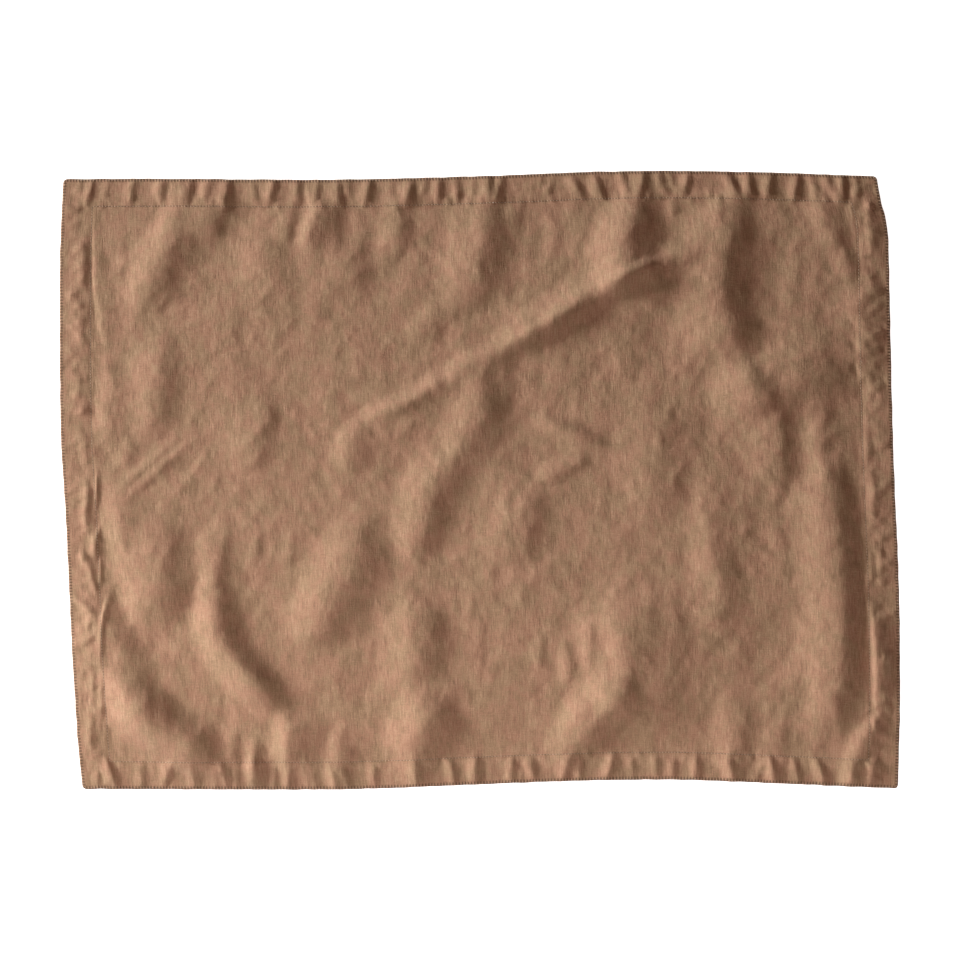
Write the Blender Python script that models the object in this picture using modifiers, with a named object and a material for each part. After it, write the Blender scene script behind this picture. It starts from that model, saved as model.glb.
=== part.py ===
"""Fabric placemat: one sheet of washed linen with a turned hem, lying flat in its soft wrinkles.

Metres in the scene, +Z up, +X along the long side. The origin is under the middle of the mat, on the
surface that it lies on. The tables below are in millimetres, in that same frame.
"""
import math

import bmesh
import bpy
import numpy as np

MM = 0.001

# Driving dimensions, millimetres.
CLOTH_THICKNESS = 1.0
HEM_THICKNESS = 1.7
LONG_HEM_DEPTH = 16.0
SHORT_HEM_DEPTH = 18.0
HEM_STEP_WIDTH = 2.5
HEM_FIRST_LINE = 0.45

# Cells of the sheet: whole mat each way, and the cuts in each cell of the two long, puckered hems.
CELLS_X = 60
CELLS_Y = 44
HEM_CUTS = 2

# The laid outline, millimetres: each edge is a smooth curve through these (x, y) points.
BOTTOM_EDGE = (
    (-230.5, -179.2), (-128.0, -179.5), (-70.0, -179.2), (-12.0, -177.0), (50.0, -174.6),
    (89.0, -173.9), (127.0, -174.1), (208.0, -177.5), (242.3, -178.9),
)
TOP_EDGE = (
    (-241.6, 174.5), (-183.0, 174.7), (-104.0, 174.2), (-49.0, 174.9), (23.0, 177.0),
    (62.0, 178.7), (114.0, 179.3), (174.0, 178.2), (229.8, 176.0),
)
LEFT_EDGE = (
    (-230.5, -179.2), (-233.6, -147.0), (-236.7, -95.0), (-240.3, -21.0), (-243.2, 30.0),
    (-243.7, 108.0), (-243.3, 140.0), (-241.6, 174.5),
)
RIGHT_EDGE = (
    (242.3, -178.9), (243.5, -130.0), (242.9, -62.0), (240.2, 3.0), (237.8, 88.0),
    (237.2, 130.0), (235.8, 149.0), (232.6, 161.0), (229.8, 176.0),
)

# Points that a smooth curve is measured with.
CURVE_STEPS = 200

# Folds, millimetres, one row each: a smooth crest through its points, the widths of its two flanks as
# seen along the crest, its mean height, the share of that height gained from start to end, and how
# pointed the crest is.
# columns: crest, left, right, rise, swell, point
FOLDS = (
    # the long fold across the mat, from the middle left up to the top right, and its turn to the hem
    (((-92, 20), (-60, 36.5), (-40, 45), (-20, 57), (0, 69), (26, 84)), 18, 36, 2.6, 0.6, 0.6),
    (((-6, 64), (20, 80.5), (60, 105), (100, 127), (134, 141)), 26, 21, 4.4, 0.2, 0.4),
    (((76, 100), (80, 126), (86, 148), (94, 184)), 25, 26, 7.0, 0.0, 0.4),
    # the folds that leave it downwards
    (((-40, -58), (-33, -20), (-27, -4), (-14, 14), (-3, 32), (8, 72)), 22, 20, 4.0, 0.0, 0.6),
    (((-106, -106), (-88, -70), (-77, -50), (-66, -8)), 26, 28, 5.4, -0.5, 0.6),
    (((-78, -2), (-75, 18), (-68, 36)), 16, 18, 2.2, 0.0, 0.6),
    # from the top hem downwards
    (((158, 64), (150, 78), (142, 95), (138.5, 112), (141, 134), (151, 186)), 34, 22, 5.8, 0.1, 0.4),
    (((174, 26), (164, 44), (155, 59), (149, 80)), 34, 50, 3.8, 0.0, 0.0),
    (((171, 36), (164, 48), (156, 60), (149, 76)), 30, 18, 3.0, 0.0, 0.4),
    (((-12, 86), (-6, 112), (1, 134), (5, 186)), 27, 22, 3.8, -0.1, 0.5),
    (((-204, 84), (-189, 121), (-181, 138), (-170, 174)), 17, 21, 3.8, 0.5, 0.4),
    (((-167, 134), (-161, 146), (-153, 178)), 16, 17, 2.6, 0.0, 0.5),
    (((-134, 90), (-127, 108), (-124, 142), (-119, 162)), 22, 20, 2.2, 0.0, 0.6),
    (((-104, 112), (-99, 130), (-90, 158), (-85, 178)), 12, 22, 3.4, 0.2, 0.6),
    (((-70, 98), (-75, 114), (-86, 144)), 40, 21, 2.4, 0.0, 0.6),
    # left side and lower left corner
    (((-191, 20), (-187, 55), (-182, 90)), 22, 28, 2.8, 0.0, 0.6),
    (((-190, -98), (-200, -58), (-205, -36), (-213, 12)), 16, 30, 3.0, 0.0, 0.6),
    (((-184, -86), (-182, -66), (-187, -10)), 26, 24, 4.2, 0.3, 0.5),
    (((-132, -168), (-156, -160), (-183, -145), (-203, -124), (-212, -106)), 26, 27, 8.6, 0.0, 0.3),
    (((-172, -142), (-190, -127), (-203, -112), (-217, -80), (-222, -62)), 42, 22, 4.4, 0.2, 0.4),
    (
        ((-109, -144), (-123, -126), (-147, -99), (-153, -84), (-154, -64), (-149, -34)),
        22, 22, 7.2, -0.7, 0.3,
    ),
    (((-110, -182), (-111, -158), (-110, -128)), 18, 34, 3.6, 0.0, 0.6),
    # lower middle
    (((-44, -140), (-36, -94), (-43, -58)), 26, 23, 4.6, -0.1, 0.6),
    (((-42, -190), (-38, -158), (-33, -143), (-24, -130), (-8, -116)), 25, 24, 7.2, 0.0, 0.5),
    (((-83, -184), (-81, -158), (-77, -136)), 14, 15, 1.8, 0.0, 0.6),
    (((38, -176), (56, -151), (70, -135), (83, -121), (94, -109)), 24, 21, 6.0, -0.2, 0.4),
    (((72, -152), (84, -134), (89, -114), (88, -92), (82, -50)), 42, 56, 5.4, 0.0, 0.2),
    # lower right
    (((126, -106), (136, -84), (138, -60), (132, -18), (134, 10)), 17, 20, 2.8, 0.1, 0.6),
    (((147, -186), (147, -154), (143, -116)), 17, 16, 2.8, 0.0, 0.6),
    (((169, -186), (172, -154), (177, -130)), 15, 13, 1.4, 0.0, 0.6),
    # right side
    (((203, -150), (208.5, -90), (208.5, -60), (203, -8), (202, 16)), 28, 21, 5.0, -0.2, 0.5),
    (((202, -14), (201, 8), (195, 56)), 17, 26, 2.8, 0.0, 0.6),
    (((172, -14), (177, 28), (181, 54)), 24, 15, 2.4, 0.0, 0.6),
    (((208, 32), (198, 56), (189, 80), (182, 110)), 34, 28, 2.8, 0.1, 0.3),
    # shallow ones in the middle
    (((10, -56), (24, -16), (27, 8)), 26, 24, 2.6, 0.0, 0.5),
    (((98, -40), (104, 12), (96, 64)), 30, 24, 2.4, 0.0, 0.5),
    (((-132, 0), (-124, 52)), 20, 16, 2.0, 0.0, 0.6),
    (((80, 16), (52, 27), (24, 41)), 17, 16, 2.0, 0.0, 0.5),
)
# How far a fold fades in and out, at most, how much of its width is left at its ends, and the length of
# the straight steps of its crest.
FOLD_FADE = 36.0
FOLD_FADE_SHARE = 0.4
FOLD_END_WIDTH = 0.5
CREST_STEP = 6.0

# Puckers that the sewing draws into the hem, one row each edge.
# columns: edge, pitch, wander of the pitch, lean, flank, mean rise, uneven rise
PUCKERS = (
    ("top", 14.2, 2.6, 3.0, 6.0, 0.9, 0.5),
    ("bottom", 14.8, 3.0, -3.0, 6.2, 1.0, 0.6),
    ("left", 33.0, 6.0, 5.0, 9.0, 0.5, 0.3),
    ("right", 27.0, 6.0, -6.0, 9.0, 0.7, 0.4),
)
# How far a pucker runs outside and inside the edge, its distance from a corner, its other flank, and
# how pointed it is.
PUCKER_OUTSIDE = 12.0
PUCKER_INSIDE = 22.0
PUCKER_CORNER = 12.0
PUCKER_FAR_FLANK = 0.8
PUCKER_POINT = 0.5
# The unevenness of the puckers follows sines: the turn from each pucker to the next, and the start.
WANDER_TURN = 2.4
LEAN_TURN = 1.7
LEAN_START = 0.6
RISE_TURN = 3.1
RISE_START = 1.0

# Finish of the linen.
LINEN_COLOR = (0.352, 0.195, 0.120, 1.0)
LINEN_ROUGHNESS = 0.92


def clear_scene():
    """Remove everything that the file starts with."""
    for thing in list(bpy.data.objects):
        bpy.data.objects.remove(thing, do_unlink=True)


def smooth_curve(points, count):
    """Return count points of the Catmull-Rom curve through the given points."""
    known = np.array(points, float)
    first = 2 * known[0] - known[1]
    last = 2 * known[-1] - known[-2]
    known = np.vstack([first, known, last])
    spans = len(known) - 3
    place = np.linspace(0, spans, count)
    span = np.minimum(place.astype(int), spans - 1)
    t = (place - span)[:, None]
    a, b, c, d = known[span], known[span + 1], known[span + 2], known[span + 3]
    slope = (c - a) * t
    bend = (2 * a - 5 * b + 4 * c - d) * t**2
    twist = (3 * b - a - 3 * c + d) * t**3
    return 0.5 * (2 * b + slope + bend + twist)


def edge_length(points):
    """Return the length of the curve through the points, millimetres."""
    line = smooth_curve(points, CURVE_STEPS)
    return np.linalg.norm(np.diff(line, axis=0), axis=1).sum()


def along_edge(points, share):
    """Return the points at the given shares of an edge's length."""
    line = smooth_curve(points, CURVE_STEPS)
    steps = np.linalg.norm(np.diff(line, axis=0), axis=1)
    length = np.concatenate([[0.0], np.cumsum(steps)])
    length /= length[-1]
    x = np.interp(share, length, line[:, 0])
    y = np.interp(share, length, line[:, 1])
    return np.stack([x, y], axis=-1)


def laid_place(u, v):
    """Return where the points at shares u and v of the flat cloth lie inside the outline."""
    bottom, top = along_edge(BOTTOM_EDGE, u), along_edge(TOP_EDGE, u)
    left, right = along_edge(LEFT_EDGE, v), along_edge(RIGHT_EDGE, v)
    u, v = u[:, None], v[:, None]
    across = (1 - v) * bottom + v * top
    upward = (1 - u) * left + u * right
    low = (1 - u) * np.array(BOTTOM_EDGE[0]) + u * np.array(BOTTOM_EDGE[-1])
    high = (1 - u) * np.array(TOP_EDGE[0]) + u * np.array(TOP_EDGE[-1])
    return across + upward - (1 - v) * low - v * high


def fade_in_out(share, length):
    """Ease from 0 to 1 over the first part of a crest, and back over its last part."""
    part = min(FOLD_FADE / length, FOLD_FADE_SHARE)
    rest = np.clip(np.minimum(share, 1 - share) / part, 0, 1)
    return rest * rest * (3 - 2 * rest)


def fold_height(x, y, row):
    """Return the height of one fold at the points x and y."""
    points, left, right, rise, swell, point = row
    length = edge_length(points)
    crest = smooth_curve(points, 2 + int(length / CREST_STEP))
    nearest = np.full(x.shape, np.inf)
    side = np.zeros(x.shape)
    share = np.zeros(x.shape)
    for index, (a, b) in enumerate(zip(crest[:-1], crest[1:])):
        run = b - a
        t = np.clip(((x - a[0]) * run[0] + (y - a[1]) * run[1]) / (run @ run), 0, 1)
        dx = x - a[0] - t * run[0]
        dy = y - a[1] - t * run[1]
        distance = np.hypot(dx, dy)
        closer = distance < nearest
        nearest = np.where(closer, distance, nearest)
        side = np.where(closer, run[0] * dy - run[1] * dx, side)
        share = np.where(closer, (index + t) / (len(crest) - 1), share)
    fade = fade_in_out(share, length)
    width = np.where(side > 0, left, right) * (FOLD_END_WIDTH + (1 - FOLD_END_WIDTH) * fade)
    flank = (nearest / width) ** 2
    profile = np.clip(1 - flank, 0, None) ** 2 / (1 + point * flank)
    return rise * (1 + swell * (share - 0.5)) * fade * profile


def pucker_rows():
    """Work out the rows of the small puckers along the four edges."""
    edges = {
        "top": (TOP_EDGE, (0, -1)),
        "bottom": (BOTTOM_EDGE, (0, 1)),
        "left": (LEFT_EDGE, (1, 0)),
        "right": (RIGHT_EDGE, (-1, 0)),
    }
    rows = []
    for name, pitch, wander, lean, flank, rise, uneven in PUCKERS:
        edge, inward = edges[name]
        inward = np.array(inward, float)
        aside = np.array([abs(inward[1]), abs(inward[0])])
        span = np.linalg.norm(np.subtract(edge[-1], edge[0]))
        count = int((span - 2 * PUCKER_CORNER) / pitch)
        for index in range(count):
            place = PUCKER_CORNER + (index + 0.5) * pitch + wander * math.sin(WANDER_TURN * index)
            foot = along_edge(edge, place / span)
            tilt = lean * math.sin(LEAN_TURN * index + LEAN_START) * aside
            outer = foot - PUCKER_OUTSIDE * inward - tilt
            inner = foot + PUCKER_INSIDE * inward + tilt
            height = rise + uneven * math.sin(RISE_TURN * index + RISE_START)
            rows.append(((outer, inner), flank, PUCKER_FAR_FLANK * flank, height, 0.0, PUCKER_POINT))
    return rows


def cloth_height(x, y):
    """Return the height of the cloth's underside above the surface, millimetres."""
    height = np.zeros(x.shape)
    for row in (*FOLDS, *pucker_rows()):
        height += fold_height(x, y, row)
    return height


def grid_lines(length, hem, cells):
    """Return the shares of the flat cloth at which the sheet has its lines of points."""
    hem_lines = [0.0, HEM_FIRST_LINE * hem, hem, hem + HEM_STEP_WIDTH]
    between = cells - 2 * (len(hem_lines) - 1)
    inner = np.linspace(hem_lines[-1], length - hem_lines[-1], between + 1)[1:-1]
    outer = [length - line for line in reversed(hem_lines)]
    return np.array([*hem_lines, *inner, *outer]) / length


def refine_hem(mesh):
    """Cut the cells of the long hems finer, where the puckers are."""
    def row_of(vert):
        return round((vert.co.y + 1) / 2 * CELLS_Y)

    in_hem = {0, 1, CELLS_Y - 1, CELLS_Y}
    rows = [(edge, {row_of(vert) for vert in edge.verts}) for edge in mesh.edges]
    edges = [edge for edge, row in rows if len(row) == 1 and row <= in_hem]
    bmesh.ops.subdivide_edges(mesh, edges=edges, cuts=HEM_CUTS, use_grid_fill=True)


def make_linen():
    """Make the finish of the cloth."""
    linen = bpy.data.materials.new("linen")
    linen.use_nodes = True
    shader = linen.node_tree.nodes["Principled BSDF"]
    shader.inputs["Base Color"].default_value = LINEN_COLOR
    shader.inputs["Roughness"].default_value = LINEN_ROUGHNESS
    shader.inputs["Metallic"].default_value = 0.0
    return linen


def make_placemat(collection, linen):
    """Model the mat: a grid laid into the outline and its folds, then thickened."""
    sheet = bmesh.new()
    bmesh.ops.create_grid(sheet, x_segments=CELLS_X, y_segments=CELLS_Y, size=1.0)
    refine_hem(sheet)
    sheet.verts.ensure_lookup_table()

    flat = np.array([vert.co[:2] for vert in sheet.verts])
    width = edge_length(TOP_EDGE)
    depth = edge_length(LEFT_EDGE)
    lines_u = grid_lines(width, SHORT_HEM_DEPTH, CELLS_X)
    lines_v = grid_lines(depth, LONG_HEM_DEPTH, CELLS_Y)
    u = np.interp((flat[:, 0] + 1) / 2 * CELLS_X, np.arange(CELLS_X + 1), lines_u)
    v = np.interp((flat[:, 1] + 1) / 2 * CELLS_Y, np.arange(CELLS_Y + 1), lines_v)

    place = laid_place(u, v)
    height = cloth_height(place[:, 0], place[:, 1])
    place -= (place.max(axis=0) + place.min(axis=0)) / 2
    for vert, (x, y), z in zip(sheet.verts, place, height):
        vert.co = (x * MM, y * MM, z * MM)

    mesh = bpy.data.meshes.new("placemat")
    sheet.to_mesh(mesh)
    sheet.free()
    mesh.materials.append(linen)
    placemat = bpy.data.objects.new("placemat", mesh)
    collection.objects.link(placemat)

    from_side = np.minimum(u, 1 - u) * width
    from_end = np.minimum(v, 1 - v) * depth
    half_step = HEM_STEP_WIDTH / 2
    in_hem = (from_side < SHORT_HEM_DEPTH + half_step) | (from_end < LONG_HEM_DEPTH + half_step)
    hem = placemat.vertex_groups.new(name="hem")
    hem.add([int(index) for index in np.flatnonzero(in_hem)], 1.0, "REPLACE")

    facets = placemat.modifiers.new("facets", "TRIANGULATE")
    facets.quad_method = "SHORTEST_DIAGONAL"

    layers = placemat.modifiers.new("layers", "SOLIDIFY")
    layers.thickness = HEM_THICKNESS * MM
    layers.offset = 1.0
    layers.vertex_group = hem.name
    layers.thickness_vertex_group = CLOTH_THICKNESS / HEM_THICKNESS
    mesh.shade_smooth()
    return placemat


clear_scene()
parts = bpy.data.collections.new("fabric_placemat")
bpy.context.scene.collection.children.link(parts)
make_placemat(parts, make_linen())
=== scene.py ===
"""Fabric placemat: washed linen with a turned and sewn hem, laid flat in its soft wrinkles.

The tables are in millimetres, in the frame of the model: +X along the long side, +Y along the short
side, +Z up, with the origin under the middle of the mat.
"""
import math

import bpy
import numpy as np
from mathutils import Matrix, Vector, noise


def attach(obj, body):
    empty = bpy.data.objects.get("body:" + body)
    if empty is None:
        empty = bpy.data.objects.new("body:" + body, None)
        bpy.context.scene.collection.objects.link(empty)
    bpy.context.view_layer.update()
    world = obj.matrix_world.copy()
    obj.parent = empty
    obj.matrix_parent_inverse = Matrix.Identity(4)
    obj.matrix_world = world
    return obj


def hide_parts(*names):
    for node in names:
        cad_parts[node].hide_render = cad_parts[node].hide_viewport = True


MM = 0.001

# --- Sizes, millimetres -------------------------------------------------------------------------------

# The thickness of the cloth, of its turned hem and of its very edge, and how far the edge is rounded,
# from above and at the corners.
CLOTH_THICKNESS = 1.0
HEM_THICKNESS = 1.4
EDGE_THICKNESS = 0.6
EDGE_ROLL = 1.6
CORNER_RADIUS = 2.2

# How deep the hems are, and how broad their inner step is. The layers are uneven by this share, in
# smooth noise of this length and start.
LONG_HEM_DEPTH = 17.0
SHORT_HEM_DEPTH = 18.5
HEM_STEP = 3.4
HEM_UNEVEN = 1.2
HEM_UNEVEN_LENGTH = 22.0
HEM_UNEVEN_START = 23.0

# How far the seam is from the hem's step, towards the edge, and the groove that it draws in.
SEAM_FROM_HEM = 1.0
SEAM_GROOVE_DEPTH = 0.30
SEAM_GROOVE_WIDTH = 0.8

# The sheet's lines of points: how far they are from the edge, about how far apart in the hem, how far
# from the hem's step, and about how far apart in the middle.
EDGE_LINES = (0.0, 0.3, 0.8, 1.5, 2.4, 3.5)
HEM_LINE = 1.25
STEP_LINES = (-1.6, -1.0, -0.4, 0.1, 0.6, 1.2, 2.0)
MIDDLE_LINE = 1.62

# The laid outline: each edge is a smooth curve through these (x, y) points.
BOTTOM_EDGE = (
    (-230.5, -179.2), (-128.0, -179.5), (-70.0, -179.2), (-12.0, -177.0), (50.0, -174.6),
    (89.0, -173.9), (127.0, -174.1), (208.0, -177.5), (242.3, -178.9),
)
TOP_EDGE = (
    (-241.6, 174.5), (-183.0, 174.7), (-104.0, 174.2), (-49.0, 174.9), (23.0, 177.0),
    (62.0, 178.7), (114.0, 179.3), (174.0, 178.2), (229.8, 176.0),
)
LEFT_EDGE = (
    (-230.5, -179.2), (-233.6, -147.0), (-236.7, -95.0), (-240.3, -21.0), (-243.2, 30.0),
    (-243.7, 108.0), (-243.3, 140.0), (-241.6, 174.5),
)
RIGHT_EDGE = (
    (242.3, -178.9), (243.5, -130.0), (242.9, -62.0), (240.2, 3.0), (237.8, 88.0),
    (237.2, 130.0), (235.8, 149.0), (232.6, 161.0), (229.8, 176.0),
)
# Points that a smooth curve is measured with.
CURVE_STEPS = 200

# --- Folds, millimetres -------------------------------------------------------------------------------
# One row a fold: the points of its crest, the widths of the flanks to the left and right of the way the
# crest runs, its height (a trough where negative), the share of the height gained from start to end,
# and how pointed the crest is.
# columns: crest, left, right, rise, swell, point

MAIN_FOLDS = (
    # the long fold across the mat, from the middle left up to the top right, and its turn to the hem
    (((-92, 20), (-60, 36.5), (-40, 45), (-20, 57), (0, 69), (26, 84)), 12, 36, 3.2, 0.5, 0.6),
    (((-70, 33), (-54, 40), (-40, 46), (-20, 58), (0, 70)), 8, 9, 1.5, 0.0, 0.6),
    (
        ((-6, 64), (20, 80.5), (40, 92.5), (60, 105), (80, 116.5), (100, 124.5), (118, 130.5), (134, 137)),
        17, 14.5, 4.8, 0.0, 0.4,
    ),
    (((28, 87), (48, 99), (70, 112), (90, 123)), 8, 20, 2.0, 0.2, 0.6),
    (((64, 108), (80, 116), (98, 124), (114, 130)), 7, 34, 3.6, 0.3, 0.3),
    (((10, 75), (28, 86), (46, 96), (64, 106)), 5, 13, 1.7, 0.0, 0.5),
    (((76, 100), (80, 126), (86.5, 148), (94, 184)), 23, 25, 7.6, 0.0, 0.5),
    # the folds that leave it downwards, to the left of the middle
    (
        ((-40, -58), (-37, -38), (-33, -20), (-27, -4), (-14, 14), (-3, 32), (3, 50), (8, 72)),
        22, 20, 4.2, 0.0, 0.8,
    ),
    (
        ((-106, -106), (-97, -88), (-88, -70), (-77, -50), (-70, -30), (-66, -8)),
        26, 28, 5.6, -0.5, 0.6,
    ),
    (((-78, -2), (-75, 18), (-68, 36)), 14, 18, 2.6, 0.0, 0.6),
    # from the top hem downwards
    (
        ((158, 64), (150.5, 78), (142, 95), (138.5, 112), (141, 134), (145.5, 152), (151, 186)),
        34, 21, 6.0, 0.1, 0.5,
    ),
    (((174, 26), (164, 44), (155.5, 59), (149, 80)), 34, 50, 3.8, 0.0, 0.0),
    (((171, 36), (164, 48), (156, 60), (149, 76)), 30, 13, 3.4, 0.0, 0.5),
    (((-12, 86), (-6, 112), (1, 134), (3, 156), (5, 186)), 27, 22, 4.0, -0.1, 0.5),
    (
        ((-204, 84), (-197, 103), (-189, 121), (-181, 138), (-175, 154), (-170, 174)),
        16, 21, 3.8, 0.5, 0.4,
    ),
    (((-167, 134), (-161, 146), (-156, 160), (-153, 178)), 14, 17, 3.0, 0.0, 0.5),
    (((-134, 90), (-127, 108), (-125, 124), (-124, 142), (-119, 162)), 22, 26, 2.2, 0.0, 0.6),
    (((-103, 120), (-99, 134), (-96, 146), (-91, 160), (-86, 178)), 12, 21, 3.2, 0.1, 0.6),
    (((-70, 98), (-75, 114), (-80, 130), (-86, 144)), 40, 21, 2.6, 0.0, 0.6),
    # left side and lower left corner
    (((-193, 20), (-188, 55), (-183, 90)), 22, 21, 3.3, 0.0, 0.6),
    (
        ((-190, -98), (-194, -80), (-200, -58), (-205, -36), (-210, -14), (-213, 12)),
        13, 30, 3.2, 0.0, 0.6,
    ),
    (((-184, -86), (-182, -66), (-183, -42), (-187, -10)), 26, 24, 4.4, 0.3, 0.5),
    (
        (
            (-132, -170), (-156, -162), (-171, -154.5), (-185, -146), (-196, -137), (-206, -124),
            (-216, -104),
        ),
        22, 22, 10.2, 0.0, 0.5,
    ),
    (
        ((-172, -142), (-190, -127), (-203, -112), (-211, -96), (-217, -80), (-222, -62)),
        42, 17, 4.8, 0.2, 0.6,
    ),
    (
        ((-109, -144), (-123, -126), (-137, -112), (-147, -99), (-153, -86), (-154, -64), (-149, -34)),
        17, 17, 8.0, -0.7, 0.5,
    ),
    (((-110, -182), (-111, -158), (-110, -143), (-110, -128)), 13, 34, 4.0, 0.0, 0.8),
    # lower middle
    (((-44, -140), (-38, -114), (-36, -94), (-38, -76), (-43, -58)), 26, 23, 4.8, -0.1, 0.6),
    (((-42, -190), (-38, -158), (-33, -143), (-24, -130), (-8, -116)), 25, 23, 7.8, 0.0, 0.6),
    (((-83, -184), (-81, -158), (-77, -136)), 10, 13, 2.2, 0.0, 0.6),
    (((38, -176), (56, -151), (70, -135), (83, -121), (94, -109)), 24, 18, 7.0, -0.2, 0.5),
    (((72, -152), (84, -134), (89, -114), (88, -92), (84, -70), (82, -50)), 42, 56, 5.6, 0.0, 0.2),
    # lower right
    (((126, -106), (136, -84), (138, -60), (134, -38), (132, -18), (134, 10)), 17, 20, 2.8, 0.1, 0.7),
    (((147, -186), (147, -154), (148, -138), (143, -116)), 17, 16, 3.0, 0.0, 0.7),
    (((169, -186), (172, -154), (177, -130)), 14, 9, 1.5, 0.0, 0.8),
    # right side
    (
        ((203, -150), (207, -122), (208.5, -90), (208.5, -60), (205.5, -30), (203, -8), (202, 16)),
        28, 18, 5.4, -0.2, 0.6,
    ),
    (((202, -14), (200, 8), (197, 28), (192, 56)), 14, 22, 2.6, 0.0, 0.7),
    (((172, -14), (173, 8), (172, 28), (172, 50)), 24, 14, 3.0, 0.0, 0.8),
    (((208, 32), (198, 56), (189, 80), (182, 110)), 34, 28, 3.0, 0.1, 0.3),
    # shallow ones in the middle
    (((10, -56), (17, -36), (24, -16), (27, 8)), 26, 24, 2.8, 0.0, 0.5),
    (((98, -40), (102, -10), (104, 12), (102, 34), (96, 64)), 30, 24, 2.6, 0.0, 0.5),
    (((-132, 0), (-129, 26), (-124, 52)), 20, 15, 2.2, 0.0, 0.6),
    # hollows between them
    (((96, 52), (104, 78), (112, 102)), 26, 20, -1.4, 0.0, 0.0),
    (((-72, -134), (-66, -116), (-60, -92)), 20, 14, -1.6, 0.0, 0.0),
    (((158, -128), (170, -104), (182, -72)), 24, 16, -2.0, 0.0, 0.0),
    (((166, 94), (168, 120), (176, 146)), 14, 20, -1.4, 0.0, 0.0),
)

# The smaller folds beside them, in the same columns.
SIDE_FOLDS = (
    # upper left
    (((-112, 134), (-111, 148), (-109, 166)), 10, 7, 1.3, 0.0, 0.8),
    (((-104, 132), (-100, 145), (-94, 160)), 6, 6, 0.6, 0.0, 0.8),
    (((-48, 128), (-47, 148), (-46, 186)), 15, 11, 1.7, 0.0, 0.8),
    (((-208, 4), (-205, 14), (-203, 28)), 8, 8, 1.3, 0.0, 1.0),
    (((-146, 80), (-144, 88), (-142, 98)), 8, 6, 0.7, 0.0, 1.0),
    (((-44, 76), (-30, 90), (-10, 104)), 14, 12, 1.7, 0.2, 0.8),
    (((-214, 12), (-215, 44), (-211, 80)), 12, 16, 1.3, 0.0, 0.8),
    # top middle and right
    (((19, 140), (21, 154), (24, 168)), 8, 6, 0.8, 0.0, 1.0),
    (((80, 16), (52, 27), (24, 41)), 10, 10, 2.8, 0.0, 0.8),
    (((28, -4), (48, 7), (72, 18)), 10, 9, 2.2, 0.0, 0.8),
    (((116, 94), (104, 99), (88, 105)), 5, 6, 0.8, 0.0, 1.0),
    (((136, 146), (138, 156), (140, 164)), 10, 5, 1.0, 0.0, 0.8),
    (((111, 150), (112, 158), (113, 168)), 6, 5, 0.9, 0.0, 0.8),
    (((194, 174), (201, 150), (212, 118)), 12, 11, 2.0, 0.0, 0.7),
    (((221, 50), (221, 90), (219, 128)), 19, 22, 2.4, 0.0, 0.6),
    (((180, 94), (180, 110), (182, 128)), 9, 9, 0.9, 0.0, 0.8),
    # lower left
    (((-142, -166), (-144, -155), (-143, -144)), 8, 8, 1.8, 0.0, 0.8),
    (((-130, -176), (-131, -160), (-130, -146)), 7, 8, 2.0, 0.0, 0.8),
    (((-112, -166), (-112, -150), (-112, -136)), 9, 16, 1.6, 0.0, 0.8),
    (((-160, -66), (-157, -44), (-158, -24)), 10, 15, 2.0, 0.0, 0.6),
    (((-110, -56), (-110, -42), (-108, -26)), 7, 5, 0.8, 0.0, 1.0),
    (((-132, -54), (-130, -40), (-128, -24)), 7, 5, 0.7, 0.0, 1.0),
    (((-149, -60), (-148, -34), (-148, -8)), 8, 6, 0.9, 0.0, 1.0),
    # lower middle
    (((-6, -84), (-5, -70), (-5, -54)), 8, 6, 0.6, 0.0, 1.0),
    (((42, -148), (56, -137), (68, -124)), 10, 9, 1.0, 0.0, 0.8),
    # lower right
    (((208, -188), (220, -156), (237, -128)), 10, 14, 3.4, 0.0, 0.8),
    (((148, -40), (152, -26), (152, -10)), 14, 10, 1.0, 0.0, 0.5),
    (((195, -156), (197, -138), (199, -116)), 16, 22, 1.8, 0.0, 0.6),
    (((170, -44), (172, -34), (170, -22)), 6, 6, 0.7, 0.0, 1.0),
)

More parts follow.
